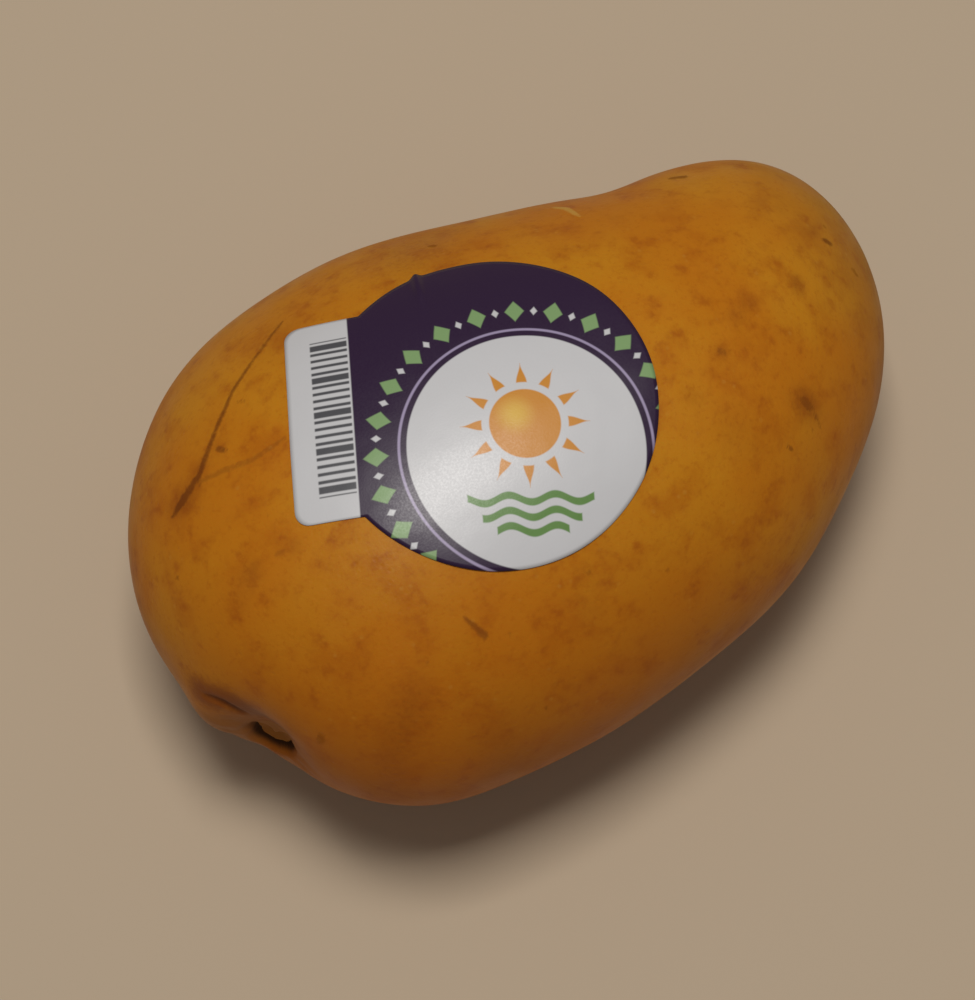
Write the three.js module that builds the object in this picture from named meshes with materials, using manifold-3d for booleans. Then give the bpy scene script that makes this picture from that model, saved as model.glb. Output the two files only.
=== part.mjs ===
// A whole ripe mango of the small golden honey type, lying on one cheek, with one paper label
// stuck on the other cheek. Millimetres, +Z up.
//
// The fruit's long axis runs along X, with the stem end at -X and the apex at +X. The ventral
// edge, which has the shallow sinus, faces +Y, and the fuller dorsal edge faces -Y. The origin
// is the middle of the fruit's footprint, on the surface that the fruit lies on.

import * as THREE from "three";
import { mergeVertices } from "three/addons/utils/BufferGeometryUtils.js";
import Module from "manifold-3d";

// Driving dimensions, in millimetres and degrees

// The fruit is a ball stretched along X. Its half width, half thickness and the sideways bend of
// its long axis are given at stations spread evenly from the stem end to the apex, and vary
// smoothly between them.
const LENGTH = 103.9;
const HALF_WIDTHS = [38.8, 42.7, 37.4, 35.4, 32.2, 31.4, 31.0, 36.1];
const HALF_THICKNESSES = [34.0, 31.5, 29.4, 28.2, 27.0, 28.0];
const AXIS_BEND = [-0.4, -2.6, -2.0, -1.9, -3.2, -3.6, 0.0, 4.3];
// The cheeks come closer together by this share towards the ventral edge
const VENTRAL_THINNING = 0.03;

// Shallow hollows in the skin, and one low shoulder, which has a negative depth. Each has a
// middle, the distance that it spreads along x, y and z, and its depth.
const STEM_HOLLOW = { middle: [-46.6, -17.8, -0.5], spread: [5.9, 5.9, 7.5], depth: 3.65 };
const STEM_SHOULDER = { middle: [-50.4, -11.4, -2.7], spread: [4.9, 4.2, 8], depth: -1.5 };
const SINUS = { middle: [25, 22, 2], spread: [6, 8, 14], depth: 1 };
const HOLLOWS = [STEM_HOLLOW, STEM_SHOULDER, SINUS];

// The pit that the stalk broke out of, with its corky scar. It faces this way from the middle
// of the stretched ball.
const STEM_PIT_DIRECTION = new THREE.Vector3(-0.903, -0.415, -0.11).normalize();
const STEM_PIT_RADIUS = 3.3;
const STEM_PIT_DEPTH = 2;
const STEM_SCAR_RADIUS = 2.6;
const STEM_SCAR_HEIGHT = 1.4;

// How the fruit lies: the stem end is lifted, and the ventral edge is turned down
const STEM_END_LIFT = 3.5;
const VENTRAL_TURN_DOWN = 5.5;
// A ripe fruit flattens a little where it rests
const RESTING_FLAT_DEPTH = 0.4;

// The label is a disc with a tab on its left side, seen here from above and turned on the cheek
const LABEL_RADIUS = 20;
const LABEL_MIDDLE = new THREE.Vector2(-6.15, -2.7);
const LABEL_TURN = -25.5;
const TAB_REACH = 23.5;
const TAB_HEIGHT = 26.6;
const TAB_MIDDLE = 0.5;
const TAB_CORNER_RADIUS = 1.8;
const LABEL_THICKNESS = 0.5;
const LABEL_CLEARANCE = 0.3;

// Fineness of the meshes
const SKIN_DIVISIONS = 22;
const OUTLINE_DIVISIONS = 36;
const PIT_SEGMENTS = 20;

const wasm = await Module();
wasm.setup();

// Between a geometry and a solid that can be joined and cut

function toSolid(geometry) {
  const bare = geometry.clone();
  bare.deleteAttribute("normal");
  bare.deleteAttribute("uv");
  const merged = mergeVertices(bare);
  const mesh = new wasm.Mesh({
    numProp: 3,
    vertProperties: new Float32Array(merged.attributes.position.array),
    triVerts: new Uint32Array(merged.index.array),
  });
  return new wasm.Manifold(mesh);
}

function toGeometry(solid) {
  const mesh = solid.getMesh();
  const geometry = new THREE.BufferGeometry();
  geometry.setAttribute("position", new THREE.BufferAttribute(mesh.vertProperties, 3));
  geometry.setIndex(new THREE.BufferAttribute(mesh.triVerts, 1));
  geometry.computeVertexNormals();
  return geometry;
}

// The fruit's surface

// A smooth cubic B-spline that follows evenly spaced stations, with t from 0 at the first to 1
// at the last
function between(stations, t) {
  const last = stations.length - 1;
  const place = THREE.MathUtils.clamp(t, 0, 1) * last;
  const k = Math.min(Math.floor(place), last - 1);
  const f = place - k;
  const before = k > 0 ? stations[k - 1] : 2 * stations[0] - stations[1];
  const after = k + 2 <= last ? stations[k + 2] : 2 * stations[last] - stations[last - 1];
  const weights = [
    (1 - f) ** 3,
    3 * f ** 3 - 6 * f ** 2 + 4,
    -3 * f ** 3 + 3 * f ** 2 + 3 * f + 1,
    f ** 3,
  ];
  const values = [before, stations[k], stations[k + 1], after];
  return weights.reduce((sum, weight, i) => sum + (weight * values[i]) / 6, 0);
}

// The plain stretched ball, without its hollows, in a direction from its middle
function ballPoint(direction) {
  const t = (direction.x + 1) / 2;
  const thinning = 1 - VENTRAL_THINNING * direction.y;
  return new THREE.Vector3(
    (LENGTH / 2) * direction.x,
    between(AXIS_BEND, t) + between(HALF_WIDTHS, t) * direction.y,
    between(HALF_THICKNESSES, t) * direction.z * thinning,
  );
}

function steppedPoint(direction, step) {
  return ballPoint(direction.clone().add(step).normalize());
}

// The way out of the skin, from two short steps along the surface
function outward(direction) {
  const STEP = 1e-3;
  const helper = Math.abs(direction.x) < 0.7 ? new THREE.Vector3(1, 0, 0) : new THREE.Vector3(0, 1, 0);
  const u = helper.cross(direction).setLength(STEP);
  const v = direction.clone().cross(u).setLength(STEP);
  const alongU = steppedPoint(direction, u).sub(steppedPoint(direction, u.clone().negate()));
  const alongV = steppedPoint(direction, v).sub(steppedPoint(direction, v.clone().negate()));
  return alongU.cross(alongV).normalize();
}

function hollowDepth(point) {
  let depth = 0;
  for (const hollow of HOLLOWS) {
    const away = point.toArray().map((value, i) => (value - hollow.middle[i]) / hollow.spread[i]);
    depth += hollow.depth * Math.exp(-(away[0] ** 2 + away[1] ** 2 + away[2] ** 2));
  }
  return depth;
}

function skinPoint(direction, height = 0) {
  const point = ballPoint(direction);
  return point.addScaledVector(outward(direction), height - hollowDepth(point));
}

// The closed skin, or a copy of it that stands off by a height. Squares of about one size
// come from a cube's grid, spread evenly by angle and pushed out to the ball.
function skinGeometry(height = 0) {
  const box = new THREE.BoxGeometry(2, 2, 2, SKIN_DIVISIONS, SKIN_DIVISIONS, SKIN_DIVISIONS);
  box.deleteAttribute("normal");
  box.deleteAttribute("uv");
  const geometry = mergeVertices(box);
  const position = geometry.attributes.position;
  const direction = new THREE.Vector3();
  for (let i = 0; i < position.count; i += 1) {
    direction.fromBufferAttribute(position, i);
    direction.set(...direction.toArray().map((value) => Math.tan((value * Math.PI) / 4))).normalize();
    const point = skinPoint(direction, height);
    position.setXYZ(i, point.x, point.y, point.z);
  }
  return geometry;
}

// A turned shape that stands on the skin at the stem pit, with its profile's y pointing out
function turnedAtPit(profile) {
  const points = profile.map(([radius, height]) => new THREE.Vector2(radius, height));
  const geometry = new THREE.LatheGeometry(points, PIT_SEGMENTS);
  const turn = new THREE.Quaternion().setFromUnitVectors(
    new THREE.Vector3(0, 1, 0),
    outward(STEM_PIT_DIRECTION),
  );
  geometry.applyQuaternion(turn);
  geometry.translate(...skinPoint(STEM_PIT_DIRECTION).toArray());
  return geometry;
}

function stemPitTool() {
  const rim = STEM_PIT_RADIUS;
  const floor = -STEM_PIT_DEPTH;
  return turnedAtPit([
    [0, floor],
    [0.75 * rim, 0.95 * floor],
    [0.95 * rim, 0.5 * floor],
    [rim, 0],
    [1.15 * rim, -floor],
    [0, -floor],
  ]);
}

function stemScarStub() {
  const root = -STEM_PIT_DEPTH - 1;
  const top = -STEM_PIT_DEPTH + STEM_SCAR_HEIGHT;
  return turnedAtPit([
    [0, root],
    [STEM_SCAR_RADIUS, root],
    [0.9 * STEM_SCAR_RADIUS, top - 0.3],
    [0.6 * STEM_SCAR_RADIUS, top],
    [0, top - 0.2],
  ]);
}

function fruitGeometry() {
  const pitted = toSolid(skinGeometry()).subtract(toSolid(stemPitTool()));
  return toGeometry(pitted.add(toSolid(stemScarStub())));
}

// The label

// The die's outline: round the disc from the tab's lower edge to its upper edge, then round
// the tab
function labelOutline() {
  const top = TAB_MIDDLE + TAB_HEIGHT / 2;
  const bottom = TAB_MIDDLE - TAB_HEIGHT / 2;
  const corner = TAB_CORNER_RADIUS;
  const lowerJoint = -Math.PI - Math.asin(bottom / LABEL_RADIUS);
  const upperJoint = Math.PI - Math.asin(top / LABEL_RADIUS);
  const shape = new THREE.Shape();
  shape.absarc(0, 0, LABEL_RADIUS, lowerJoint, upperJoint, false);
  shape.absarc(-TAB_REACH + corner, top - corner, corner, Math.PI / 2, Math.PI, false);
  shape.absarc(-TAB_REACH + corner, bottom + corner, corner, Math.PI, 1.5 * Math.PI, false);
  shape.closePath();
  return shape;
}

function labelDie() {
  const geometry = new THREE.ExtrudeGeometry(labelOutline(), {
    depth: LENGTH / 2,
    bevelEnabled: false,
    curveSegments: OUTLINE_DIVISIONS,
  });
  geometry.rotateZ(THREE.MathUtils.degToRad(LABEL_TURN));
  geometry.translate(LABEL_MIDDLE.x, LABEL_MIDDLE.y, 0);
  return geometry;
}

// The label follows the skin: it is the sheet between two raised copies of the skin, inside
// the die's outline
function labelGeometry() {
  const outside = toSolid(skinGeometry(LABEL_CLEARANCE + LABEL_THICKNESS));
  const inside = toSolid(skinGeometry(LABEL_CLEARANCE));
  const sheet = toSolid(labelDie()).intersect(outside).subtract(inside);
  return toGeometry(sheet);
}

// Lying on the surface

function lyingTurn() {
  const lift = new THREE.Matrix4().makeRotationY(THREE.MathUtils.degToRad(STEM_END_LIFT));
  const turnDown = new THREE.Matrix4().makeRotationX(THREE.MathUtils.degToRad(-VENTRAL_TURN_DOWN));
  return turnDown.multiply(lift);
}

// Moves the lowest point of the fruit just under the surface, and the middle of its footprint
// to the origin
function ontoSurface(fruit) {
  fruit.computeBoundingBox();
  const box = fruit.boundingBox;
  const middle = box.getCenter(new THREE.Vector3());
  return new THREE.Vector3(-middle.x, -middle.y, -box.min.z - RESTING_FLAT_DEPTH);
}

function cutFlat(geometry) {
  const below = new THREE.BoxGeometry(LENGTH, LENGTH, LENGTH).translate(0, 0, -LENGTH / 2);
  return toGeometry(toSolid(geometry).subtract(toSolid(below)));
}

const turn = lyingTurn();
const fruit = fruitGeometry().applyMatrix4(turn);
const shift = ontoSurface(fruit);
const lyingFruit = cutFlat(fruit.translate(...shift.toArray()));
const lyingLabel = labelGeometry().applyMatrix4(turn).translate(...shift.toArray());

const skinMaterial = new THREE.MeshStandardMaterial({ color: 0xc87a1e, roughness: 0.5, metalness: 0 });
const labelMaterial = new THREE.MeshStandardMaterial({ color: 0xe6e3ea, roughness: 0.35, metalness: 0 });

const fruitMesh = new THREE.Mesh(lyingFruit, skinMaterial);
fruitMesh.name = "mango_fruit";

const labelMesh = new THREE.Mesh(lyingLabel, labelMaterial);
labelMesh.name = "fruit_sticker";

const mango = new THREE.Group();
mango.add(fruitMesh, labelMesh);

export default mango;
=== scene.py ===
# The looks of a whole ripe mango: its waxy skin with scars and stem pit, and the printed paper
# label on its upper cheek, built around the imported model, with a floor, a light and a camera.

import math

import bpy
import numpy as np
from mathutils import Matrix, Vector, noise


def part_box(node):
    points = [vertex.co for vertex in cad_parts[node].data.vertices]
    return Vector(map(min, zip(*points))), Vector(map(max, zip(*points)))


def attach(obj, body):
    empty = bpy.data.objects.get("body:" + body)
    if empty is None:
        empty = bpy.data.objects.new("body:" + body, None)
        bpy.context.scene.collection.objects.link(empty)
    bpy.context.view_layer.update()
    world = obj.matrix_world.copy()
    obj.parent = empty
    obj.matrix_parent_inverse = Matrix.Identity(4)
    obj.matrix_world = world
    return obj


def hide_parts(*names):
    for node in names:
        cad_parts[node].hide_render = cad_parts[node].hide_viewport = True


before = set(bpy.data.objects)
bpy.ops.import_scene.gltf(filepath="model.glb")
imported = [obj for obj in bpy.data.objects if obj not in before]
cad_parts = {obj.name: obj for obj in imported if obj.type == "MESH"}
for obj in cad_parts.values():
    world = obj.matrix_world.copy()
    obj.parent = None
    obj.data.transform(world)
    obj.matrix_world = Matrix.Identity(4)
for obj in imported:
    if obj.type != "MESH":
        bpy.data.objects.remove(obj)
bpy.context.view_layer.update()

MM = 0.001
FRUIT = "mango_fruit"
STICKER = "fruit_sticker"

# The fruit's shape, in millimetres and degrees, as in the model: a ball stretched along X, whose
# half width, half thickness and bend are given at stations spread evenly from stem to apex
LENGTH = 103.9
HALF_WIDTHS = [38.8, 42.7, 37.4, 35.4, 32.2, 31.4, 31.0, 36.1]
HALF_THICKNESSES = [34.0, 31.5, 29.4, 28.2, 27.0, 28.0]
AXIS_BEND = [-0.4, -2.6, -2.0, -1.9, -3.2, -3.6, 0.0, 4.3]
VENTRAL_THINNING = 0.03
STEM_END_LIFT = 3.5
VENTRAL_TURN_DOWN = 5.5
RESTING_FLAT_DEPTH = 0.4

# Hollows in the skin: middle, spread along x, y and z, and depth
STEM_HOLLOW = ((-46.6, -17.8, -0.5), (5.9, 5.9, 7.5), 3.65)
STEM_SHOULDER = ((-50.4, -11.4, -2.7), (4.9, 4.2, 8), -1.5)
SINUS = ((25, 22, 2), (6, 8, 14), 1)
HOLLOWS = [STEM_HOLLOW, STEM_SHOULDER, SINUS]

# The stem pit, the corky scar in it, and the crease above it. The pit has its full depth at its
# lower side and the shallow one at its upper side
PIT_DIRECTION = (-0.903, -0.415, -0.11)
PIT_RADIUS = 3.3
PIT_DEPTH = 2
SHALLOW_DEPTH = 0.15
PIT_RIM_HEIGHT = 0.22
PIT_FOLD_HEIGHT = 0.1
SCAR_RADIUS = 2.6
SCAR_HEIGHT = 1.4
CREASE = [
    (-50.2, -10.4, 4.5),
    (-49.4, -11.5, 5.0),
    (-48.6, -12.5, 5.0),
    (-47.9, -13.3, 4.3),
    (-47.0, -14.3, 2.9),
]
CREASE_WIDTHS = [0.2, 0.4, 0.5, 0.5, 0.3]
CREASE_DEPTH = 0.4
# Reddish staining along the crease and the pit's upper side, and the tan swelling under them
STAIN = [(-50.2, -10.4, 4.8), (-48.4, -12.7, 6.0), (-46.2, -15.2, 4.6), (-44.6, -17.6, 3.2)]
STAIN_REACH = 3.1
SWELLING_MIDDLE = (-48.4, -12.6, -3.5)
SWELLING_REACH = 5
SWELLING_FADE = (1.5, 4.5)
STEM_TINT_REACH = 8
# Skin that lies deeper than this under the pit isn't near the stem
STEM_END_DEPTH = 15

# Fineness of the visual skin and of the plain fruit that finds its place, and the skin's evenness
SKIN_DIVISIONS = 124
PLAIN_DIVISIONS = 40
CROWDING = 0.62
CROWDING_REACH = 0.4
SWELL_HEIGHT = 0.22
SWELL_LENGTH = 17
DIMPLE_HEIGHT = 0.05
DIMPLE_LENGTH = 4.5
# The visual skin lies at least this far under the model's plain surface
SKIN_ALLOWANCE = 0.05
# Distances outside a mark are cut off here, and FAR_AWAY is past any reach
MARK_REACH = 2.0
FAR_AWAY = 99
# How far the brown marks and the pale line stand off the skin
MARK_HEIGHT = 0.05
PALE_HEIGHT = 0.12

# Marks on the upper cheek as seen from above, in millimetres: each has the points of its line,
# half widths along it, and how dark it is
LONG_SCAR = [(-20.6, 22.0), (-30.0, 16.8), (-35.1, 12.6), (-38.7, 9.5), (-41.9, 8.2), (-43.6, 7.6)]
SCAR_BRANCH = [(-39.3, 8.7), (-36.0, 7.6), (-32.9, 6.4), (-28.4, 6.3)]
UPPER_MARKS = [
    (LONG_SCAR, [0.05, 0.12, 0.2, 0.26, 0.5, 0.1], 0.7),
    (SCAR_BRANCH, [0.2, 0.3, 0.25, 0.12], 0.3),
    ([(-35.4, 10.6), (-34.8, 9.8)], [0.3, 0.2], 0.6),
    ([(-30.5, 14.6), (-30.0, 14.2)], [0.15, 0.15], 0.4),
    ([(-21.0, -22.8), (-19.8, -25.4)], [0.1, 0.35], 0.55),
    ([(32.0, 17.5), (33.6, 16.7)], [0.2, 0.3], 0.6),
    ([(43.9, 0.2), (44.3, -0.4)], [0.3, 0.25], 0.7),
    ([(29.0, -17.9), (29.4, -18.6)], [0.5, 0.55], 0.4),
    ([(29.7, -19.1), (29.8, -20.9)], [0.15, 0.1], 0.4),
    ([(24.2, -21.9), (24.6, -22.3)], [0.2, 0.15], 0.5),
    ([(21.8, -9.6), (22.1, -9.8)], [0.35, 0.3], 0.35),
    ([(45.7, -4.0), (45.8, -4.8)], [0.15, 0.15], 0.35),
    ([(0.0, 21.9), (0.5, 21.7)], [0.25, 0.2], 0.5),
    ([(-36.0, -5.2), (-35.4, -5.4)], [0.25, 0.25], 0.25),
    ([(-41.1, -23.4), (-40.9, -23.7)], [0.3, 0.25], 0.35),
]
# Marks on the lower cheek, in the same way
LOWER_MARKS = [
    ([(-24.0, -18.0), (-14.0, -21.5), (-5.0, -22.0)], [0.15, 0.35, 0.2], 0.6),
    ([(12.0, 9.0), (15.0, 11.5)], [0.3, 0.25], 0.6),
    ([(31.0, -6.0), (33.0, -2.5), (32.0, 1.0)], [0.2, 0.3, 0.15], 0.5),
]
# A pale line on the upper cheek, and its half widths
PALE_LINE = [(16.7, 20.5), (17.7, 19.1), (17.8, 17.5), (17.9, 16.2)]
PALE_WIDTHS = [0.2, 0.4, 0.35, 0.15]
# Soft darker patches: place from above, radius and strength
SOFT_PATCHES = [
    ((28.9, -5.1), 1.6, 0.45),
    ((26.0, -6.3), 1.7, 0.4),
    ((21.9, -9.7), 1.4, 0.45),
    ((15.4, -13.0), 1.6, 0.3),
    ((36.3, -4.2), 1.3, 0.45),
    ((35.9, -5.6), 1.3, 0.4),
    ((42.8, 1.4), 1.2, 0.4),
    ((29.1, -18.2), 2.2, 0.75),
    ((19.0, -18.8), 5.0, 0.3),
    ((-39.3, -5.0), 1.8, 0.4),
    ((-34.1, -5.7), 1.6, 0.35),
    ((-41.7, 8.2), 2.4, 0.65),
    ((-38.4, 10.0), 1.6, 0.4),
    ((-42.5, -6.4), 3.0, 0.25),
    ((-30.0, -27.2), 3.5, 0.4),
    ((-34.5, -29.2), 3.5, 0.35),
    ((-23.0, -34.6), 5.0, 0.3),
    ((-7.4, -28.7), 2.5, 0.25),
    ((-2.0, 22.5), 8.0, 0.45),
    ((-22.0, 20.0), 7.0, 0.3),
]
SPECK_COUNT = 60
SPECK_SEED = 7
SPECK_SIZES = (0.12, 0.3)
SPECK_DARKNESS = 0.4

# The label is a disc with a tab on its left side, placed from above and turned on the cheek
LABEL_RADIUS = 20
LABEL_MIDDLE = (-6.15, -2.7)
LABEL_TURN = -25.5
TAB_REACH = 23.5
TAB_HEIGHT = 26.6
TAB_MIDDLE = 0.5
TAB_CORNER_RADIUS = 1.8
PAPER_THICKNESS = 0.12
PAPER_LIFT = 0.04
RIPPLE_HEIGHT = 0.08
# The pinched fold runs in from the label's upper edge, a little left of its middle
FOLD_HEIGHT = 0.6
FOLD_PLACE = -7.2
FOLD_SLANT = 0.12
FOLD_HALF_WIDTH = 0.55
FOLD_START = 12.5
FOLD_END = 18
LABEL_SPOKES = 480
LABEL_RINGS = 44
# The print's own square, in which the label's middle is at 0.5, 0.5
PRINT_SIZE = 50

# The camera looks steeply down at the fruit, in millimetres and degrees
CAMERA_TARGET = (-6.7, -1.7, 28)
CAMERA_DISTANCE = 400
CAMERA_AZIMUTH = -30.3
CAMERA_ELEVATION = 75
CAMERA_LENS = 115

# The floor, the even dim surround and the one soft light, in metres, degrees and watts
FLOOR_REACH = 3
FLOOR_COLOUR = (0.52, 0.41, 0.29)
WARM_WHITE = (1.0, 0.97, 0.93)
SURROUND_STRENGTH = 0.17
KEY_AZIMUTH = 165
KEY_ELEVATION = 84
KEY_DISTANCE = 0.9
KEY_TARGET = (0, 0, 0.03)
KEY_SIZE = 0.24
KEY_POWER = 5.15


# The fruit's surface, in its own axes and in millimetres

def between(stations, t):
    """A smooth cubic B-spline that follows evenly spaced stations, with t from 0 to 1."""
    first, last = stations[0], stations[-1]
    values = np.array([2 * first - stations[1], *stations, 2 * last - stations[-2]])
    place = np.clip(t, 0, 1) * (len(stations) - 1)
    k = np.minimum(place.astype(int), len(stations) - 2)
    f = place - k
    near = (3 * f**3 - 6 * f**2 + 4) * values[k + 1] + (-3 * f**3 + 3 * f**2 + 3 * f + 1) * values[k + 2]
    return ((1 - f) ** 3 * values[k] + near + f**3 * values[k + 3]) / 6


def unit(vectors):
    return vectors / np.linalg.norm(vectors, axis=-1, keepdims=True)


def smoothstep(low, high, values):
    t = np.clip((values - low) / (high - low), 0, 1)
    return t * t * (3 - 2 * t)


def ball(directions):
    """Points of the fruit without its hollows, by their directions on a round ball."""
    x, y, z = directions.T
    t = (x + 1) / 2
    across = between(AXIS_BEND, t) + between(HALF_WIDTHS, t) * y
    thinning = 1 - VENTRAL_THINNING * y
    return np.stack([LENGTH / 2 * x, across, between(HALF_THICKNESSES, t) * z * thinning], axis=-1)


def outward(directions):
    """The way out of the ball, from two short steps along its surface."""
    step = 1e-3
    helper = np.where(np.abs(directions[:, :1]) < 0.7, [[1.0, 0, 0]], [[0, 1.0, 0]])
    u = unit(np.cross(helper, directions)) * step
    v = unit(np.cross(directions, u)) * step
    along_u = ball(unit(directions + u)) - ball(unit(directions - u))
    along_v = ball(unit(directions + v)) - ball(unit(directions - v))
    return unit(np.cross(along_u, along_v))


def hollow_depth(points):
    depth = np.zeros(len(points))
    for middle, spread, deepest in HOLLOWS:
        away = (points - np.array(middle)) / np.array(spread)
        depth += deepest * np.exp(-(away**2).sum(1))
    return depth


def noise_at(points, length):
    """Smooth seeded noise from -1 to 1, whose waves are about this long."""
    return np.array([noise.noise(Vector(p)) for p in points / length])


def unevenness(points):
    """How far the skin lies under the plain ball, because no fruit is quite smooth."""
    swell = SWELL_HEIGHT * (1 - noise_at(points, SWELL_LENGTH)) / 2
    dimple = DIMPLE_HEIGHT * (1 - noise_at(points, DIMPLE_LENGTH)) / 2
    return swell + dimple


def smooth_skin(directions):
    """Points of the skin without its marks, and the way out at each."""
    points = ball(directions)
    out = outward(directions)
    depth = hollow_depth(points) + unevenness(points) + SKIN_ALLOWANCE
    return points - out * depth[:, None], out


def lying(points):
    """Turns points from the fruit's own axes into the model's, without the final shift."""
    lift = math.radians(STEM_END_LIFT)
    down = math.radians(-VENTRAL_TURN_DOWN)
    x, y, z = points.T
    x, z = x * math.cos(lift) + z * math.sin(lift), z * math.cos(lift) - x * math.sin(lift)
    y, z = y * math.cos(down) - z * math.sin(down), y * math.sin(down) + z * math.cos(down)
    return np.stack([x, y, z], axis=-1)


def resting_shift():
    """The plain fruit's move onto the surface, from its lying box and the model's."""
    directions, _ = cube_grid(PLAIN_DIVISIONS)
    points = ball(directions)
    points = lying(points - outward(directions) * hollow_depth(points)[:, None])
    low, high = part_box(FRUIT)
    middle = (points.min(0) + points.max(0)) / 2
    target = [(low.x + high.x) / 2 / MM, (low.y + high.y) / 2 / MM]
    return np.array([*(target - middle[:2]), -points[:, 2].min() - RESTING_FLAT_DEPTH])


def place(points):
    """From the fruit's own axes to metres in the model's frame, flat where it rests."""
    softness = 0.06
    moved = lying(points) + SHIFT
    z = moved[:, 2]
    moved[:, 2] = (z + np.sqrt(z**2 + softness**2)) / 2
    return moved * MM


# Meshes

def cube_grid(divisions):
    """Directions and quads of a ball made from a cube's grid, spread evenly by angle."""
    line = np.tan(np.linspace(-math.pi / 4, math.pi / 4, divisions + 1))
    a, b = (side.ravel() for side in np.meshgrid(line, line, indexing="ij"))
    one = np.ones_like(a)
    sides = [(one, a, b), (-one, b, a), (b, one, a), (a, -one, b), (a, b, one), (b, a, -one)]
    corners = unit(np.concatenate([np.stack(side, axis=-1) for side in sides]))
    index = np.arange(len(corners)).reshape(6, divisions + 1, divisions + 1)
    quads = np.stack([index[:, :-1, :-1], index[:, 1:, :-1], index[:, 1:, 1:], index[:, :-1, 1:]], axis=-1)
    merged, where = np.unique(np.round(corners, 7), axis=0, return_inverse=True)
    return unit(merged), where.ravel()[quads.reshape(-1, 4)]


def crowded(directions):
    """Draws the grid closer together round the stem pit, where the skin has fine forms."""
    pit = unit(np.array(PIT_DIRECTION))
    away = np.linalg.norm(directions - pit, axis=1, keepdims=True)
    pull = CROWDING * np.exp(-((away / CROWDING_REACH) ** 2))
    return unit(directions + pull * (pit - directions))


def new_piece(name, points, faces, node):
    mesh = bpy.data.meshes.new(name)
    mesh.from_pydata(points.tolist(), [], faces)
    mesh.polygons.foreach_set("use_smooth", [True] * len(mesh.polygons))
    mesh.update()
    piece = bpy.data.objects.new(name, mesh)
    bpy.context.scene.collection.objects.link(piece)
    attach(piece, "root")
    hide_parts(node)
    return piece


def store(piece, name, values):
    attribute = piece.data.attributes.new(name, "FLOAT", "POINT")
    attribute.data.foreach_set("value", values.astype(np.float32))


# Marks on the skin

def inside_line(points, line, widths):
    """How far points lie inside a line of changing half width; negative is outside."""
    line = np.array(line, float)
    best = np.full(len(points), -1e3)
    for start, end, wide, narrow in zip(line[:-1], line[1:], widths[:-1], widths[1:]):
        along = end - start
        t = np.clip((points - start) @ along / (along @ along), 0, 1)
        away = np.linalg.norm(points - start - t[:, None] * along, axis=1)
        best = np.maximum(best, wide + t * (narrow - wide) - away)
    return best


def cheek_marks(points, marks, cheek):
    """The deepest mark at each point of one cheek, and that mark's darkness."""
    best = np.full(len(points), -MARK_REACH)
    tone = np.zeros(len(points))
    for line, widths, darkness in marks:
        inside = np.where(points[:, 2] * cheek > 0, inside_line(points[:, :2], line, widths), -MARK_REACH)
        tone = np.where(inside > best, darkness, tone)
        best = np.maximum(best, inside)
    return best, tone


def specks(points):
    """Small brown specks, scattered over the whole skin by a seeded draw."""
    draw = np.random.default_rng(SPECK_SEED)
    middles = ball(unit(draw.normal(size=(SPECK_COUNT, 3))))
    sizes = draw.uniform(*SPECK_SIZES, SPECK_COUNT)
    best = np.full(len(points), -MARK_REACH)
    for middle, size in zip(middles, sizes):
        best = np.maximum(best, size - np.linalg.norm(points - middle, axis=1))
    return best


def brown_marks(points):
    """How far points lie inside any brown mark or speck, and how dark it is."""
    upper, upper_tone = cheek_marks(points, UPPER_MARKS, 1)
    lower, lower_tone = cheek_marks(points, LOWER_MARKS, -1)
    speck = specks(points)
    placed = np.maximum(upper, lower)
    tone = np.where(upper > lower, upper_tone, lower_tone)
    tone = np.where(speck > placed, SPECK_DARKNESS, tone)
    return np.maximum(placed, speck), tone


def pale_line(points):
    """How far points lie inside the pale line on the upper cheek."""
    inside = inside_line(points[:, :2], PALE_LINE, PALE_WIDTHS)
    return np.where(points[:, 2] > 0, inside, -MARK_REACH)


def soft_patches(points):
    total = np.zeros(len(points))
    for middle, radius, strength in SOFT_PATCHES:
        away = np.linalg.norm(points[:, :2] - middle, axis=1) / radius
        total += np.where(points[:, 2] > 0, strength * np.exp(-(away**2)), 0)
    return np.clip(total, 0, 1)


# The stem pit

def pit_frame():
    """The pit's middle on the plain skin, the way out of it, and two ways across it."""
    direction = unit(np.array([PIT_DIRECTION], float))
    out = outward(direction)[0]
    middle = ball(direction)
    middle = middle[0] - out * hollow_depth(middle)[0]
    side = unit(np.cross([0, 0, 1.0], out))
    return middle, out, side, np.cross(out, side)


def pit_places(points):
    """Each point's uneven distance from the pit's axis and its angle, near the stem only."""
    middle, out, side, up = pit_frame()
    away = points - middle
    across, along = away @ side, away @ up
    angle = np.arctan2(along, across)
    wobble = 1 + 0.06 * np.sin(3 * angle + 0.6) + 0.03 * np.sin(7 * angle)
    near_stem = away @ out > -STEM_END_DEPTH
    return np.where(near_stem, np.hypot(across, along) / wobble, FAR_AWAY), angle


def open_side(angle):
    """1 at the lower side of the pit, where it is deepest, falling to 0 at its upper side."""
    return smoothstep(-1.0, 0.7, -np.sin(angle))


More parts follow.
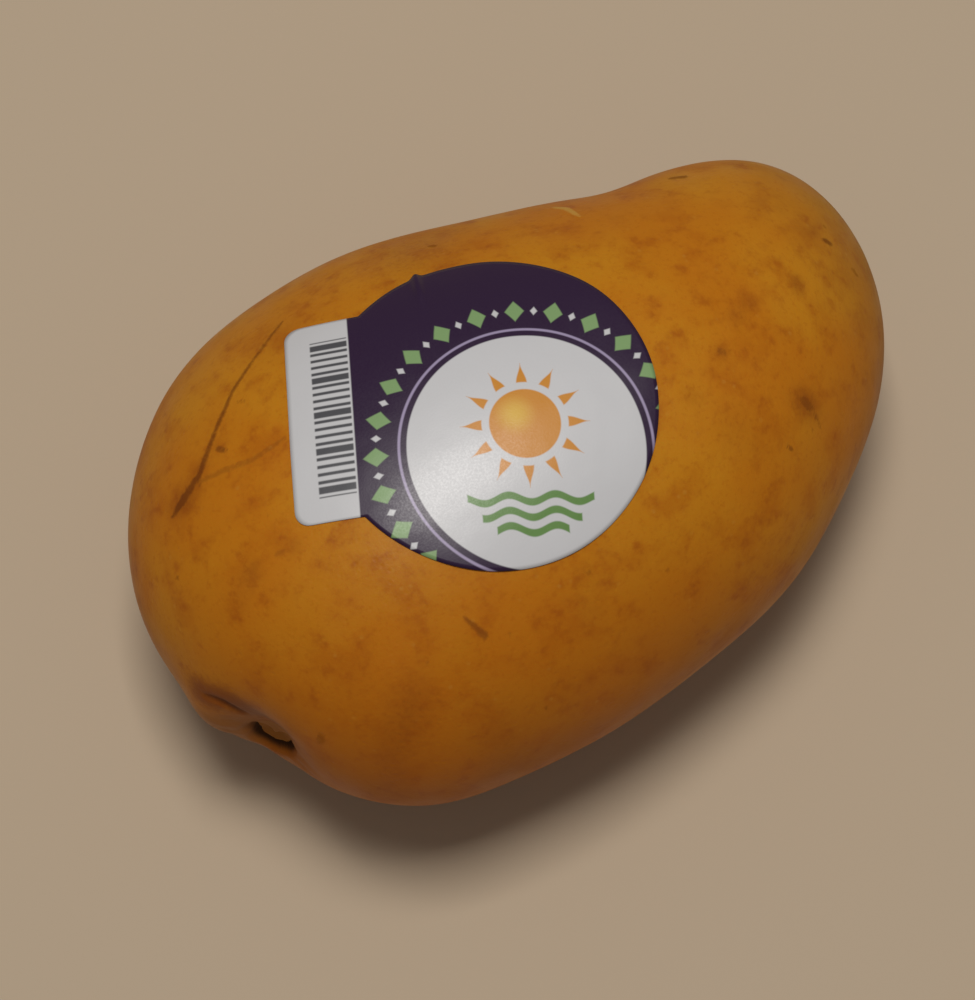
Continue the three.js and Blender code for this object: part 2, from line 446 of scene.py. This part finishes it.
def pit_relief(r, angle):
    """How far the skin is raised, by distance from the pit's axis and angle round it."""
    bowl = -PIT_DEPTH * (1 - smoothstep(0.78 * PIT_RADIUS, 1.12 * PIT_RADIUS, r))
    stub = SCAR_HEIGHT * (1 - smoothstep(0.8 * SCAR_RADIUS, 1.1 * SCAR_RADIUS, r))
    floor_height = -PIT_DEPTH + (PIT_DEPTH - SHALLOW_DEPTH) * (1 - open_side(angle))
    rim = PIT_RIM_HEIGHT * np.exp(-(((r - 1.25 * PIT_RADIUS) / 0.9) ** 2)) * open_side(angle)
    folds = PIT_FOLD_HEIGHT * np.cos(9 * angle + np.sin(2 * angle))
    folds = folds * np.exp(-(((r - 1.7 * PIT_RADIUS) / 1.7) ** 2))
    return np.maximum(bowl + stub, floor_height) * (r < 1.12 * PIT_RADIUS) + rim + folds


# The fruit

def skin_relief(radius, angle, brown, tone, crease, pale):
    """How far the pit, the crease and the marks raise or lower the skin."""
    relief = pit_relief(radius, angle)
    relief -= CREASE_DEPTH * smoothstep(-0.6, 0.3, crease)
    relief += MARK_HEIGHT * tone * smoothstep(-0.15, 0.15, brown)
    relief += PALE_HEIGHT * smoothstep(-0.2, 0.2, pale)
    return relief


def store_stem(piece, points, radius, angle):
    """Where the pit's painted shade, the scar in it and the tinted skin round them are."""
    # The pit mask marks the pit's deep lower side, which is painted near black as painted shade
    pit = (1 - smoothstep(PIT_RADIUS - 0.3, PIT_RADIUS + 0.3, radius)) * open_side(angle)
    store(piece, "pit", pit)
    store(piece, "scar", 1 - smoothstep(SCAR_RADIUS - 0.2, SCAR_RADIUS + 0.2, radius))
    store(piece, "stem", np.exp(-((radius / STEM_TINT_REACH) ** 2)))
    from_stain = inside_line(points, STAIN, [0] * len(STAIN))
    store(piece, "stain", np.exp(-((from_stain / STAIN_REACH) ** 2)))
    swelling = np.linalg.norm(points - SWELLING_MIDDLE, axis=1) / SWELLING_REACH
    store(piece, "tan", np.exp(-(swelling**2)) * (1 - smoothstep(*SWELLING_FADE, points[:, 2])))


def fruit():
    directions, quads = cube_grid(SKIN_DIVISIONS)
    points, out = smooth_skin(crowded(directions))
    radius, angle = pit_places(points)
    brown, tone = brown_marks(points)
    crease = inside_line(points, CREASE, CREASE_WIDTHS)
    pale = pale_line(points)
    relief = skin_relief(radius, angle, brown, tone, crease, pale)
    marked = place(points + out * relief[:, None])
    piece = new_piece("mango_skin", marked, quads.tolist(), FRUIT)
    store(piece, "brown", brown)
    store(piece, "tone", tone)
    store(piece, "pale", np.maximum(pale, -MARK_REACH))
    store(piece, "patch", soft_patches(points))
    store(piece, "crease", np.maximum(crease, -MARK_REACH))
    store_stem(piece, points, radius, angle)
    piece.data.materials.append(skin_material())


# The label

def label_reach(angle):
    """The die's outline: how far the disc or its tab reaches at an angle from the middle."""
    x, y = math.cos(angle), math.sin(angle)
    top, bottom = TAB_MIDDLE + TAB_HEIGHT / 2, TAB_MIDDLE - TAB_HEIGHT / 2
    if x >= 0:
        return LABEL_RADIUS
    edge = top if y > 0 else bottom
    reach = min(TAB_REACH / -x, edge / y if abs(y) > 1e-6 else FAR_AWAY)
    corner = Vector((-TAB_REACH + TAB_CORNER_RADIUS, edge - math.copysign(TAB_CORNER_RADIUS, edge)))
    tip = Vector((x, y)) * reach
    if tip.x < corner.x and abs(tip.y) > abs(corner.y):
        along = corner.x * x + corner.y * y
        reach = along + math.sqrt(max(0, along**2 - corner.length_squared + TAB_CORNER_RADIUS**2))
    return max(LABEL_RADIUS, reach)


def cheek_directions(plan):
    """The ball's directions under points seen from above, on the upper cheek."""
    x = plan[:, 0] / (LENGTH / 2)
    t = (x + 1) / 2
    y = (plan[:, 1] - between(AXIS_BEND, t)) / between(HALF_WIDTHS, t)
    return unit(np.stack([x, y, np.sqrt(np.maximum(1e-6, 1 - x**2 - y**2))], axis=-1))


def paper_lift(flat, share):
    """How far the paper stands off the skin: ripples at its edge and one small pinched fold."""
    x, y = flat.T
    angle = np.arctan2(y, x)
    edge = smoothstep(0.7, 1.0, share)
    ripples = RIPPLE_HEIGHT * (1 + np.sin(7 * angle + 1.0) * np.sin(3 * angle + 0.4))
    beside = (x - FOLD_PLACE + FOLD_SLANT * (y - FOLD_END)) / FOLD_HALF_WIDTH
    fold = FOLD_HEIGHT * np.exp(-(beside**2)) * smoothstep(FOLD_START, FOLD_END, y)
    return PAPER_LIFT + edge * ripples + fold


def label_grid():
    """The flat label's points from its middle out, and each one's share of the way to the edge."""
    angles = np.linspace(0, 2 * math.pi, LABEL_SPOKES, endpoint=False)
    reach = np.array([label_reach(angle) for angle in angles])
    outline = np.stack([np.cos(angles), np.sin(angles)], axis=-1) * reach[:, None]
    shares = np.linspace(0, 1, LABEL_RINGS + 1)[1:]
    flat = np.concatenate([[[0.0, 0.0]], *(outline * share for share in shares)])
    return flat, np.concatenate([[0.0], np.repeat(shares, LABEL_SPOKES)])


def label():
    flat, share = label_grid()
    turn = math.radians(LABEL_TURN)
    cos, sin = math.cos(turn), math.sin(turn)
    plan = np.array(LABEL_MIDDLE) + flat @ np.array([[cos, sin], [-sin, cos]])
    skin, out = smooth_skin(cheek_directions(plan))
    low = skin + out * paper_lift(flat, share)[:, None]
    high = low + out * PAPER_THICKNESS
    faces = label_faces(len(flat))
    piece = new_piece("printed_label", place(np.concatenate([high, low])), faces, STICKER)
    layer = piece.data.uv_layers.new(name="print")
    both = np.concatenate([flat, flat]) / PRINT_SIZE + 0.5
    corners = np.array([loop.vertex_index for loop in piece.data.loops])
    layer.data.foreach_set("uv", both[corners].ravel())
    piece.data.materials.append(label_material())


def label_faces(count):
    """Triangles round the middle, quads between the rings, the same below, and the edge."""
    spokes = np.arange(LABEL_SPOKES)
    following = (spokes + 1) % LABEL_SPOKES
    fan = np.stack([np.zeros_like(spokes), 1 + spokes, 1 + following], axis=-1)
    rings = []
    for ring in range(LABEL_RINGS - 1):
        inner = 1 + ring * LABEL_SPOKES
        outer = inner + LABEL_SPOKES
        corners = [inner + spokes, outer + spokes, outer + following, inner + following]
        rings.append(np.stack(corners, axis=-1))
    rings = np.concatenate(rings)
    rim = 1 + (LABEL_RINGS - 1) * LABEL_SPOKES
    edge = np.stack([rim + spokes, count + rim + spokes, count + rim + following, rim + following], axis=-1)
    quads = np.concatenate([rings, rings[:, ::-1] + count, edge])
    return fan.tolist() + (fan[:, ::-1] + count).tolist() + quads.tolist()


# Formulas in a material's nodes

class Field:
    """A number that varies over a surface, so that a material's formula reads as one."""

    def __init__(self, tree, socket):
        self.tree = tree
        self.socket = socket

    def math(self, operation, *others):
        node = self.tree.nodes.new("ShaderNodeMath")
        node.operation = operation
        for entry, value in zip(node.inputs, (self, *others)):
            feed(self.tree, value, entry)
        return Field(self.tree, node.outputs[0])

    def __add__(self, other):
        return self.math("ADD", other)

    def __sub__(self, other):
        return self.math("SUBTRACT", other)

    def __mul__(self, other):
        return self.math("MULTIPLY", other)

    def ramp(self, low, high, start=0.0, end=1.0):
        """Runs smoothly from start to end as the field goes from low to high."""
        node = self.tree.nodes.new("ShaderNodeMapRange")
        node.interpolation_type = "SMOOTHSTEP"
        names = ("Value", "From Min", "From Max", "To Min", "To Max")
        for name, value in zip(names, (self, low, high, start, end)):
            feed(self.tree, value, node.inputs[name])
        return Field(self.tree, node.outputs[0])


def feed(tree, value, entry):
    """Links a field or a socket to a node's entry, or sets a plain value there."""
    if isinstance(value, Field):
        tree.links.new(value.socket, entry)
    elif isinstance(value, bpy.types.NodeSocket):
        tree.links.new(value, entry)
    else:
        entry.default_value = value


def new_material(name):
    """A material with only its shader and output, its tree, and that shader."""
    material = bpy.data.materials.new(name)
    material.use_nodes = True
    tree = material.node_tree
    return material, tree, tree.nodes["Principled BSDF"]


def attribute(tree, name):
    node = tree.nodes.new("ShaderNodeAttribute")
    node.attribute_name = name
    return Field(tree, node.outputs["Fac"])


def millimetres(tree):
    """The surface's own coordinates in millimetres."""
    coordinates = tree.nodes.new("ShaderNodeTexCoord")
    scale = tree.nodes.new("ShaderNodeVectorMath")
    scale.operation = "SCALE"
    scale.inputs["Scale"].default_value = 1 / MM
    tree.links.new(coordinates.outputs["Object"], scale.inputs[0])
    return scale.outputs[0]


def mottle(tree, vector, length, detail, roughness=0.5):
    """Cloudy noise from about 0.25 to 0.75, whose patches are about this many mm long."""
    node = tree.nodes.new("ShaderNodeTexNoise")
    node.inputs["Scale"].default_value = 1 / length
    node.inputs["Detail"].default_value = detail
    node.inputs["Roughness"].default_value = roughness
    tree.links.new(vector, node.inputs["Vector"])
    return Field(tree, node.outputs["Fac"])


def dots(tree, vector, spacing):
    """The distance to the nearest of scattered points, in shares of their spacing."""
    node = tree.nodes.new("ShaderNodeTexVoronoi")
    node.inputs["Scale"].default_value = 1 / spacing
    tree.links.new(vector, node.inputs["Vector"])
    return Field(tree, node.outputs["Distance"])


def blend(tree, share, under, over):
    """Lays one colour over another by a share."""
    node = tree.nodes.new("ShaderNodeMix")
    node.data_type = "RGBA"
    feed(tree, share, node.inputs[0])
    for entry, colour in ((node.inputs[6], under), (node.inputs[7], over)):
        feed(tree, colour if isinstance(colour, bpy.types.NodeSocket) else (*colour, 1), entry)
    return node.outputs[2]


def bump(tree, height, distance):
    node = tree.nodes.new("ShaderNodeBump")
    node.inputs["Distance"].default_value = distance
    feed(tree, height, node.inputs["Height"])
    return node.outputs["Normal"]


# The fruit's skin

GOLD = (0.51, 0.171, 0.006)
AMBER = (0.39, 0.099, 0.003)
YELLOW = (0.54, 0.214, 0.009)
RUSSET = (0.24, 0.055, 0.005)
STAIN_RED = (0.19, 0.041, 0.006)
FLECK = (0.33, 0.076, 0.004)
OLIVE = (0.34, 0.165, 0.010)
SCAR_BROWN = (0.13, 0.029, 0.003)
PATCH_BROWN = (0.27, 0.066, 0.004)
# Near black brown for the pit's deep lower side: the crevice's brown, darkened with painted shade
CREVICE_SHADE_BROWN = (0.055, 0.017, 0.003)
TAN = (0.33, 0.125, 0.028)
STALK_SCAR = (0.37, 0.135, 0.017)
PALE = (0.60, 0.36, 0.07)
# Spacings in millimetres, and the depth of the fine bump in metres
LENTICEL_SPACING = 2.4
PORE_SPACING = 1.3
SKIN_BUMP = 0.00006


def skin_colour(tree, place):
    wide = mottle(tree, place, 16, 2.0)
    middle = mottle(tree, place, 4.5, 3.0, 0.55)
    fine = mottle(tree, place, 0.7, 3.0, 0.65)
    grain = (fine - 0.5) * 0.9
    colour = ripe_colour(tree, place, wide, middle)
    colour = flecked(tree, place, colour, middle, fine)
    colour = stained(tree, colour, grain)
    return marked_skin(tree, colour, grain)


def ripe_colour(tree, place, wide, middle):
    """Gold and yellow, redder towards the stem and the dorsal edge, and greener at the apex."""
    x, y, _ = separate(tree, place)
    colour = blend(tree, wide.ramp(0.35, 0.68), GOLD, YELLOW)
    colour = blend(tree, middle.ramp(0.45, 0.72) * 0.45, colour, AMBER)
    redness = (x * -0.35 - y * 0.8 + wide * 16).ramp(14, 52)
    colour = blend(tree, redness * 0.75, colour, AMBER)
    greenness = (x + middle * 10).ramp(40, 60)
    return blend(tree, greenness * 0.55, colour, OLIVE)


def flecked(tree, place, colour, middle, fine):
    """Brownish flecks, a fine mottling and small pale dots."""
    small = mottle(tree, place, 1.8, 3.0, 0.6)
    flecks = small.ramp(0.46, 0.78) * middle.ramp(0.4, 0.62)
    colour = blend(tree, flecks * 0.65, colour, FLECK)
    colour = blend(tree, fine.ramp(0.5, 0.75) * 0.35, colour, AMBER)
    lenticels = dots(tree, place, LENTICEL_SPACING).ramp(0.05, 0.16, 1, 0)
    return blend(tree, lenticels * middle.ramp(0.4, 0.6) * 0.14, colour, PALE)


def stained(tree, colour, grain):
    """The soft patches, and the tints round the stem."""
    patch = attribute(tree, "patch") + grain * attribute(tree, "patch")
    colour = blend(tree, patch.ramp(0.05, 0.8) * 0.75, colour, PATCH_BROWN)
    stem = (attribute(tree, "stem") + grain * 0.2).ramp(0.1, 0.9)
    colour = blend(tree, stem * 0.5, colour, RUSSET)
    stain = (attribute(tree, "stain") + grain * 0.5).ramp(0.1, 0.9)
    colour = blend(tree, stain * 0.75, colour, STAIN_RED)
    swelling = (attribute(tree, "tan") + grain * 0.2).ramp(0.1, 0.7)
    return blend(tree, swelling * 0.7, colour, TAN)


def marked_skin(tree, colour, grain):
    """The pale line, the brown marks, the crease, and the pit with its scar. The pit's deep lower side is
    painted near black, as painted shade over the crevice's brown.
    """
    pale = (attribute(tree, "pale") + grain * 0.35).ramp(-0.15, 0.15)
    colour = blend(tree, pale * 0.6, colour, PALE)
    brown = (attribute(tree, "brown") + grain * 0.55).ramp(-0.28, 0.12)
    colour = blend(tree, brown * attribute(tree, "tone"), colour, SCAR_BROWN)
    crease = (attribute(tree, "crease") + grain * 0.4).ramp(-0.4, 0.35)
    colour = blend(tree, crease * 0.8, colour, SCAR_BROWN)
    # Painted shade: the pit's deep lower side is painted near black, standing in for the shadow in its
    # crevice
    colour = blend(tree, attribute(tree, "pit").ramp(0.1, 0.8), colour, CREVICE_SHADE_BROWN)
    scar = (attribute(tree, "scar") + grain * 0.3).ramp(0.2, 0.8)
    return blend(tree, scar * 0.85, colour, STALK_SCAR)


def separate(tree, vector):
    node = tree.nodes.new("ShaderNodeSeparateXYZ")
    tree.links.new(vector, node.inputs[0])
    return [Field(tree, output) for output in node.outputs]


def skin_material():
    material, tree, shader = new_material("waxy_mango_skin")
    place = millimetres(tree)
    tree.links.new(skin_colour(tree, place), shader.inputs["Base Color"])
    fine = mottle(tree, place, 0.55, 3.0, 0.6)
    pores = dots(tree, place, PORE_SPACING).ramp(0.0, 0.3)
    scarred = attribute(tree, "brown").ramp(-0.2, 0.1) + attribute(tree, "pit")
    roughness = mottle(tree, place, 6, 2.0).ramp(0.3, 0.7, 0.42, 0.54) + scarred * 0.25
    feed(tree, roughness, shader.inputs["Roughness"])
    tree.links.new(bump(tree, fine * 0.6 + pores * 0.4, SKIN_BUMP), shader.inputs["Normal"])
    shader.inputs["Specular IOR Level"].default_value = 0.13
    shader.inputs["Coat Weight"].default_value = 0.03
    shader.inputs["Coat Roughness"].default_value = 0.35
    shader.inputs["Subsurface Weight"].default_value = 0.12
    shader.inputs["Subsurface Radius"].default_value = (0.9, 0.35, 0.08)
    shader.inputs["Subsurface Scale"].default_value = 0.003
    return material


# The label's print, drawn in millimetres from the label's middle

PAPER_WHITE = (0.60, 0.60, 0.62)
PURPLE = (0.022, 0.005, 0.034)
LILAC = (0.36, 0.30, 0.46)
ORANGE = (0.60, 0.24, 0.015)
SUN_YELLOW = (0.72, 0.46, 0.05)
WAVE_GREEN = (0.12, 0.25, 0.06)
LOZENGE_GREEN = (0.22, 0.36, 0.15)
STRIPE_GREY = (0.075, 0.075, 0.085)
PRINT_SOFTNESS = 0.11
TAB_PRINT_EDGE = 15.9
# The dark ring lies outside this circle, with a thin line and a row of lozenges along it
RING_MIDDLE = (4.0, -6.0)
RING_RADIUS = 14.0
RING_LINE_GAP = 0.9
RING_LINE_HALF_WIDTH = 0.16
LOZENGE_GAP = 3.6
LOZENGE_ANGLE = 15
LOZENGE_REACH = 1.5
SLIM_LOZENGE_REACH = 0.6
SUN_MIDDLE = (4.0, -3.4)
SUN_RADIUS = 4.2
RAY_COUNT = 12
RAY_START = SUN_RADIUS + 0.9
RAY_END = SUN_RADIUS + 3.4
RAY_HALF_WIDTH = 0.62
WAVE_LEVELS = (-12.2, -13.9, -15.6)
WAVE_TURN = 1.15
WAVE_SWING = 0.42
WAVE_HALF_WIDTH = 0.42
WAVE_REACH = 7.4
WAVE_SHORTENING = 1.6
STRIPE_MIDDLE = 18.3
STRIPE_HALF_LENGTH = 2.2
STRIPES_HALF_HEIGHT = 10.4
STRIPE_SPACING = 0.95
STRIPE_HALF_WIDTH = 0.2
BAND_SPACING = 4.75
BAND_HALF_WIDTH = 0.42
PAPER_BUMP = 0.00008


def print_places(tree):
    node = tree.nodes.new("ShaderNodeUVMap")
    node.uv_map = "print"
    u, v, _ = separate(tree, node.outputs[0])
    return (u - 0.5) * PRINT_SIZE, (v - 0.5) * PRINT_SIZE


def from_point(x, y, middle):
    """Distance and angle from a point of the print."""
    across, up = x - middle[0], y - middle[1]
    return (across * across + up * up).math("SQRT"), up.math("ARCTAN2", across)


def inked(distance):
    """1 where a distance is negative, with an edge as soft as ink on paper."""
    return distance.ramp(-PRINT_SOFTNESS, PRINT_SOFTNESS, 1, 0)


def sun_rays(radius, angle):
    """Tapered rays evenly round the sun."""
    along = angle.math("PINGPONG", math.pi / RAY_COUNT) * radius
    taper = radius.ramp(RAY_START, RAY_END, RAY_HALF_WIDTH, 0.0)
    ends = (radius - RAY_END).math("MAXIMUM", radius * -1 + RAY_START)
    return (along - taper).math("MAXIMUM", ends)


def lozenges(radius, angle):
    """A row of upright lozenges and slim ones between them, along the ring's outer part."""
    arc = RING_RADIUS + LOZENGE_GAP
    step = math.radians(LOZENGE_ANGLE)
    away = (radius - arc).math("ABSOLUTE")
    large = angle.math("PINGPONG", step / 2) * arc
    slim = (angle + step / 2).math("PINGPONG", step / 2) * arc
    return (large * 1.3 + away - LOZENGE_REACH) * 0.6, (slim * 1.4 + away - SLIM_LOZENGE_REACH) * 0.6


def waves(x, y):
    """Three short wavy bands one above the other, each shorter than the last."""
    swing = (x * WAVE_TURN).math("SINE") * WAVE_SWING
    shapes = 0.0
    for step, level in enumerate(WAVE_LEVELS):
        band = (y - level - swing).math("ABSOLUTE") - WAVE_HALF_WIDTH
        ends = (x - SUN_MIDDLE[0]).math("ABSOLUTE") - (WAVE_REACH - WAVE_SHORTENING * step)
        shapes = inked(band.math("MAXIMUM", ends)) + shapes
    return shapes


def label_colour(tree):
    x, y = print_places(tree)
    radius, angle = from_point(x, y, RING_MIDDLE)
    ring = inked(x * -1 - TAB_PRINT_EDGE) * inked(radius * -1 + RING_RADIUS)
    colour = blend(tree, ring, PAPER_WHITE, PURPLE)
    off_line = (radius - (RING_RADIUS + RING_LINE_GAP)).math("ABSOLUTE")
    colour = blend(tree, ring * inked(off_line - RING_LINE_HALF_WIDTH), colour, LILAC)
    large, slim = lozenges(radius, angle)
    colour = blend(tree, ring * inked(large), colour, LOZENGE_GREEN)
    colour = blend(tree, ring * inked(slim), colour, PAPER_WHITE)
    colour = sun_print(tree, x, y, colour)
    colour = blend(tree, waves(x, y), colour, WAVE_GREEN)
    return blend(tree, tab_stripes(x, y), colour, STRIPE_GREY)


def sun_print(tree, x, y, colour):
    """An orange disc with short rays and a soft yellow glow on one side."""
    distance, angle = from_point(x, y, SUN_MIDDLE)
    disc = inked(distance - SUN_RADIUS)
    colour = blend(tree, disc, colour, ORANGE)
    glow, _ = from_point(x, y, (SUN_MIDDLE[0] - 1.1, SUN_MIDDLE[1] + 1.1))
    colour = blend(tree, disc * glow.ramp(0.2, 3.0, 0.8, 0), colour, SUN_YELLOW)
    return blend(tree, inked(sun_rays(distance, angle)), colour, ORANGE)


def tab_stripes(x, y):
    """Fine stripes with a broader one at regular steps, evenly spaced down the tab."""
    down = y - TAB_MIDDLE
    fine = down.math("PINGPONG", STRIPE_SPACING / 2) - STRIPE_HALF_WIDTH
    broad = down.math("PINGPONG", BAND_SPACING / 2) - BAND_HALF_WIDTH
    inside_x = inked((x + STRIPE_MIDDLE).math("ABSOLUTE") - STRIPE_HALF_LENGTH)
    inside_y = inked(down.math("ABSOLUTE") - STRIPES_HALF_HEIGHT)
    return inked(fine.math("MINIMUM", broad)) * inside_x * inside_y


def label_material():
    material, tree, shader = new_material("printed_coated_paper")
    tree.links.new(label_colour(tree), shader.inputs["Base Color"])
    place = millimetres(tree)
    fibre = mottle(tree, place, 0.25, 3.0, 0.6)
    cockle = mottle(tree, place, 4.0, 1.0)
    feed(tree, fibre.ramp(0.3, 0.7, 0.38, 0.48), shader.inputs["Roughness"])
    tree.links.new(bump(tree, fibre * 0.12 + cockle, PAPER_BUMP), shader.inputs["Normal"])
    shader.inputs["Coat Weight"].default_value = 0.1
    shader.inputs["Coat Roughness"].default_value = 0.25
    return material


# The stage

def floor():
    mesh = bpy.data.meshes.new("floor")
    corners = [(x * FLOOR_REACH, y * FLOOR_REACH, 0) for x, y in ((-1, -1), (1, -1), (1, 1), (-1, 1))]
    mesh.from_pydata(corners, [], [(0, 1, 2, 3)])
    piece = bpy.data.objects.new("floor", mesh)
    bpy.context.scene.collection.objects.link(piece)
    material, _, shader = new_material("pale_matte_floor")
    shader.inputs["Base Color"].default_value = (*FLOOR_COLOUR, 1)
    shader.inputs["Roughness"].default_value = 0.75
    piece.data.materials.append(material)


def back_direction(azimuth, elevation):
    """The way from the fruit to a camera or a light."""
    a, e = math.radians(azimuth), math.radians(elevation)
    return Vector((math.sin(a) * math.cos(e), -math.cos(a) * math.cos(e), math.sin(e)))


def key_light():
    """A square area light that faces the fruit."""
    data = bpy.data.lights.new("key", "AREA")
    data.size = KEY_SIZE
    data.energy = KEY_POWER
    data.color = WARM_WHITE
    lamp = bpy.data.objects.new("key", data)
    bpy.context.scene.collection.objects.link(lamp)
    back = back_direction(KEY_AZIMUTH, KEY_ELEVATION)
    lamp.location = back * KEY_DISTANCE + Vector(KEY_TARGET)
    lamp.rotation_mode = "QUATERNION"
    lamp.rotation_quaternion = (-back).to_track_quat("-Z", "Y")


def surroundings():
    world = bpy.data.worlds.new("plain_studio")
    world.use_nodes = True
    background = world.node_tree.nodes["Background"]
    background.inputs["Color"].default_value = (*WARM_WHITE, 1)
    background.inputs["Strength"].default_value = SURROUND_STRENGTH
    bpy.context.scene.world = world
    bpy.context.scene.view_settings.view_transform = "Standard"


def camera():
    data = bpy.data.cameras.new("camera")
    data.sensor_width = 36
    data.lens = CAMERA_LENS
    data.clip_start = 0.01
    piece = bpy.data.objects.new("camera", data)
    bpy.context.scene.collection.objects.link(piece)
    back = back_direction(CAMERA_AZIMUTH, CAMERA_ELEVATION)
    piece.location = (Vector(CAMERA_TARGET) + back * CAMERA_DISTANCE) * MM
    piece.rotation_mode = "QUATERNION"
    piece.rotation_quaternion = (-back).to_track_quat("-Z", "Y")
    bpy.context.scene.camera = piece


camera()
SHIFT = resting_shift()
fruit()
label()
floor()
surroundings()
key_light()
